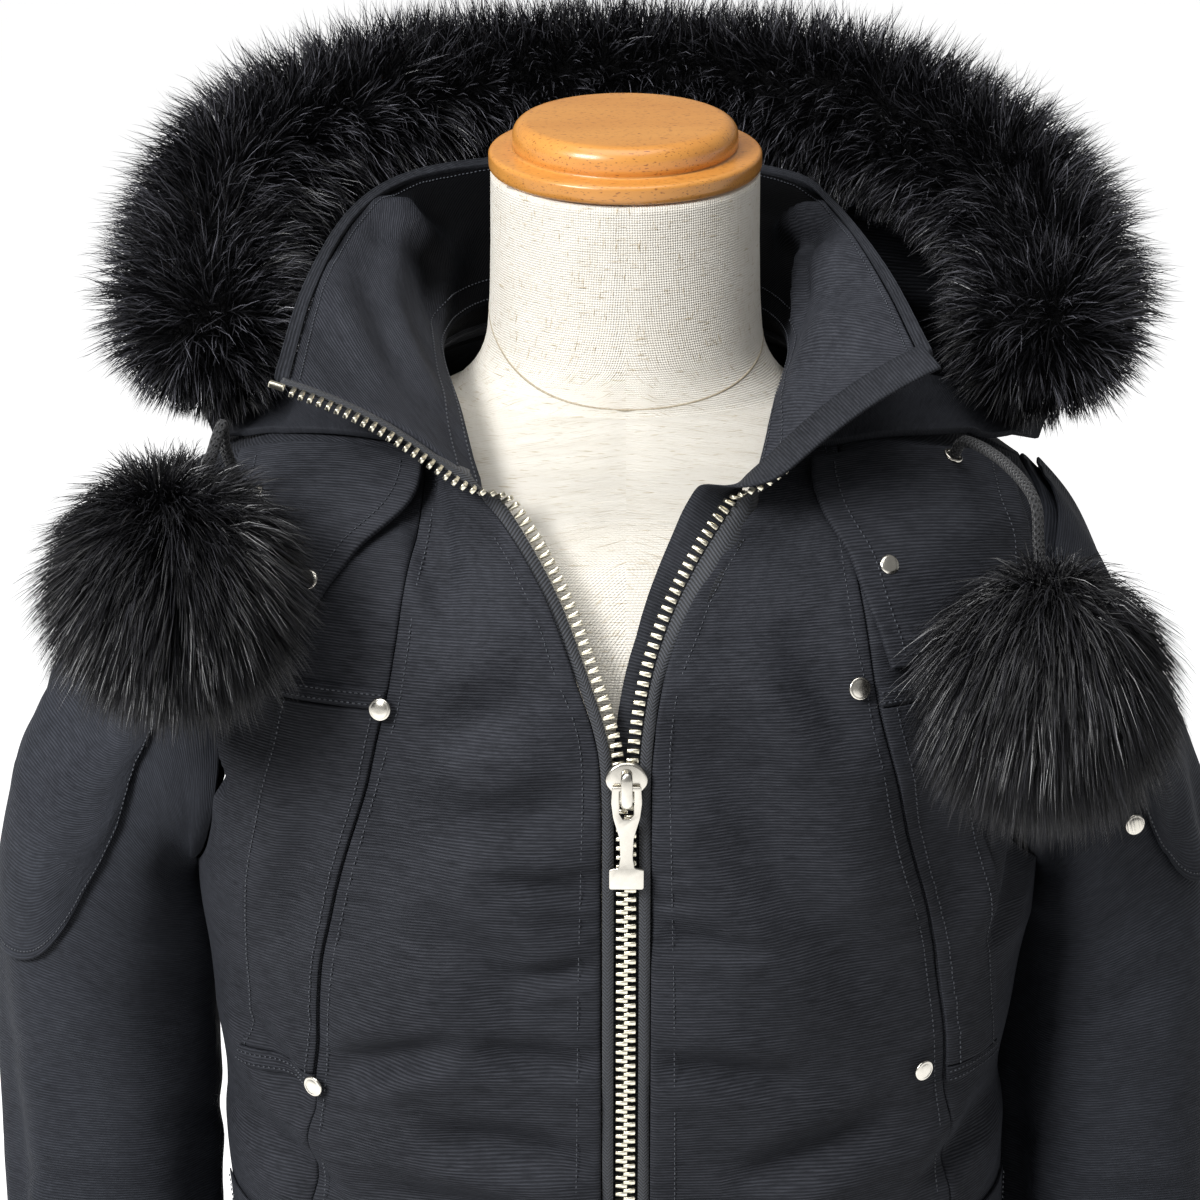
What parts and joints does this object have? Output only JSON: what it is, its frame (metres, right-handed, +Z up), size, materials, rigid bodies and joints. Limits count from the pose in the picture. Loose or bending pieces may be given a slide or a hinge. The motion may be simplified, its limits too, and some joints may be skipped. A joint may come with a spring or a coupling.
{
  "type": "down bomber jacket on a dress form",
  "caption": "Black down bomber jacket with a fur-edged hood and pompom cords, open at the neck, on a limbless linen dress form.",
  "frame": {"origin": "centre of the underside of the dress form's round base, on the floor", "axes": "+Z up, -Y out of the jacket's front, +X towards the wearer's left"},
  "size_m": [0.5759, 0.4525, 0.944],
  "materials": {
    "cloth": "matt fine-ribbed black shell cloth",
    "rib_knit": "matt black ribbed knit",
    "faux_fur": "black fur with a soft sheen",
    "braid": "matt black braided cord",
    "tape": "matt black herringbone tape",
    "nickel": "polished nickel",
    "brass": "pale antique brass",
    "linen": "matt off-white slub linen",
    "beech": "satin varnished",
    "steel": "satin grey"
  },
  "bodies": {
    "jacket": {"back": "cloth", "chest_pocket_L": "cloth", "chest_pocket_R": "cloth", "collar": "cloth", "collar_binding": "cloth", "cord_L": "braid", "cord_R": "braid", "cuff_L": "rib_knit", "cuff_R": "rib_knit", "eyelet_L": "nickel", "eyelet_R": "nickel", "form_base": "steel", "form_cap": "beech", "form_pole": "steel", "form_torso": "linen", "front_center_L": "cloth", "front_center_R": "cloth", "front_side_L": "cloth", "front_side_R": "cloth", "hand_pocket_L": "cloth", "hand_pocket_R": "cloth", "hem_rib": "rib_knit", "hood": "cloth", "hood_flap_L": "cloth", "hood_flap_R": "cloth", "hood_fur": "faux_fur", "pocket_low_bar_L": "cloth", "pocket_low_bar_R": "cloth", "pocket_top_bar_L": "cloth", "pocket_top_bar_R": "cloth", "pompom_L": "faux_fur", "pompom_R": "faux_fur", "rivet_low_L": "nickel", "rivet_low_R": "nickel", "rivet_top_L": "nickel", "rivet_top_R": "nickel", "sleeve_L": "cloth", "sleeve_R": "cloth", "sleeve_patch_L": "cloth", "sleeve_patch_R": "cloth", "sleeve_snap_R": "nickel", "snap_L": "nickel", "snap_R": "nickel", "top_stop_L": "nickel", "top_stop_R": "nickel", "zip_box": "nickel", "zip_chain_L": "brass", "zip_chain_R": "brass", "zip_guard": "cloth", "zip_slider": "nickel", "zip_tape_L": "tape", "zip_tape_R": "tape"},
    "pull": {"zip_pull": "nickel"}
  },
  "joints": [
    {"name": "zip_pull_hinge", "type": "hinge", "parent": "jacket", "child": "pull", "pos_m": [0, -0.16986, 0.6564], "axis": [-1, 0, 0], "range_deg": [0, 120]}
  ]
}
